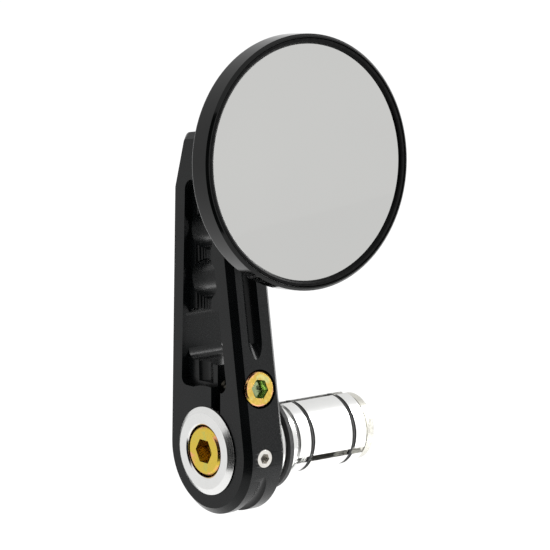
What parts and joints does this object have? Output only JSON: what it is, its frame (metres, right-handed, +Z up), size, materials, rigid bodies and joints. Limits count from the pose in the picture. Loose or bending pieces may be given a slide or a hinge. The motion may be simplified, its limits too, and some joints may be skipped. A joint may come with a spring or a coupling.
{
  "type": "bar-end mirror",
  "caption": "Round convex mirror on a ball joint, carried by a slim milled clamp arm that turns on a bar-end hub with an expanding plug inside the handlebar.",
  "frame": {"origin": "on the handlebar's axis, in the plane where the bar's end seats against the rubber ring", "axes": "+X along the handlebar's axis into the bar, -Y towards the rider, +Z up along the arm"},
  "size_m": [0.0763, 0.0552, 0.1305],
  "materials": {
    "arm_anodised": "satin black anodised",
    "zinc_bolt": "yellow zinc passivated",
    "stainless": "plain stainless",
    "nylon_white": "plain nylon",
    "stud_steel": "polished steel",
    "black_steel": "black oxide",
    "hub_aluminium": "turned, bare",
    "ring_rubber": "matt black",
    "zinc_main_bolt": "yellow zinc passivated",
    "nut_steel": "zinc plated",
    "head_gloss": "gloss black",
    "bezel_black": "gloss black",
    "mirror_glass": "silvered, convex",
    "foam": "closed-cell foam",
    "acetal": "plain acetal",
    "head_aluminium": "turned, bare",
    "spring_steel": "phosphated",
    "collet_aluminium": "turned, bare"
  },
  "bodies": {
    "hub_unit": {"hub": "hub_aluminium", "seat_ring": "ring_rubber", "main_washer": "stainless"},
    "main_bolt": {"main_bolt": "zinc_main_bolt"},
    "wedge_nut": {"wedge_nut": "nut_steel"},
    "collet_1": {"collet_segment_1": "collet_aluminium"},
    "collet_2": {"collet_segment_2": "collet_aluminium"},
    "collet_3": {"collet_segment_3": "collet_aluminium"},
    "rings": {"expander_rings": "ring_rubber"},
    "arm": {"arm": "arm_anodised", "pinch_bolt": "zinc_bolt", "set_screw": "stainless", "friction_pad": "nylon_white", "ball_stud": "stud_steel", "stud_screw": "black_steel", "stud_washer": "black_steel"},
    "ball_liner_front": {"liner_front": "acetal"},
    "ball_liner_rear": {"liner_rear": "acetal"},
    "head": {"housing": "head_gloss", "bezel_ring": "bezel_black", "mirror_glass": "mirror_glass", "glass_foam_ring": "foam", "pressure_cup": "head_aluminium", "disc_spring": "spring_steel", "clamp_plate": "head_aluminium", "clamp_screws": "black_steel"}
  },
  "joints": [
    {"name": "arm_fold", "type": "hinge", "parent": "hub_unit", "child": "arm", "pos_m": [0, 0, 0], "axis": [1, 0, 0], "continuous": true},
    {"name": "head_tilt", "type": "hinge", "parent": "arm", "child": "ball_liner_front", "pos_m": [-0.0128, -0.01994, 0.07924], "axis": [1, 0, 0], "range_deg": [-15, 15]},
    {"name": "head_swivel", "type": "hinge", "parent": "ball_liner_front", "child": "ball_liner_rear", "pos_m": [-0.0128, -0.01994, 0.07924], "axis": [0, 0.1115, 0.9938], "range_deg": [-15, 15]},
    {"name": "head_spin", "type": "hinge", "parent": "ball_liner_rear", "child": "head", "pos_m": [-0.0128, -0.01994, 0.07924], "axis": [0, -0.9938, 0.1115], "continuous": true},
    {"name": "main_bolt_turn", "type": "hinge", "parent": "hub_unit", "child": "main_bolt", "pos_m": [0, 0, 0], "axis": [-1, 0, 0], "range_deg": [0, 720]},
    {"name": "nut_slide", "type": "slide", "parent": "hub_unit", "child": "wedge_nut", "axis": [1, 0, 0], "range_m": [0, 0.0026]},
    {"name": "collet_1_slide", "type": "slide", "parent": "hub_unit", "child": "collet_1", "axis": [0.9806, -0.1698, -0.0981], "range_m": [0, 0.0013]},
    {"name": "collet_2_slide", "type": "slide", "parent": "hub_unit", "child": "collet_2", "axis": [0.9806, 0.1698, -0.0981], "range_m": [0, 0.0013]},
    {"name": "collet_3_slide", "type": "slide", "parent": "hub_unit", "child": "collet_3", "axis": [0.9806, 0, 0.1961], "range_m": [0, 0.0013]},
    {"name": "rings_slide", "type": "slide", "parent": "hub_unit", "child": "rings", "axis": [1, 0, 0], "range_m": [0, 0.0013]}
  ],
  "couplings": [
    {"joint": "nut_slide", "follows": "main_bolt_turn", "m_per_rad": 0.00019894},
    {"joint": "collet_1_slide", "follows": "main_bolt_turn", "m_per_rad": 0.00010144},
    {"joint": "collet_2_slide", "follows": "main_bolt_turn", "m_per_rad": 0.00010144},
    {"joint": "collet_3_slide", "follows": "main_bolt_turn", "m_per_rad": 0.00010144},
    {"joint": "rings_slide", "follows": "main_bolt_turn", "m_per_rad": 0.000099472}
  ]
}
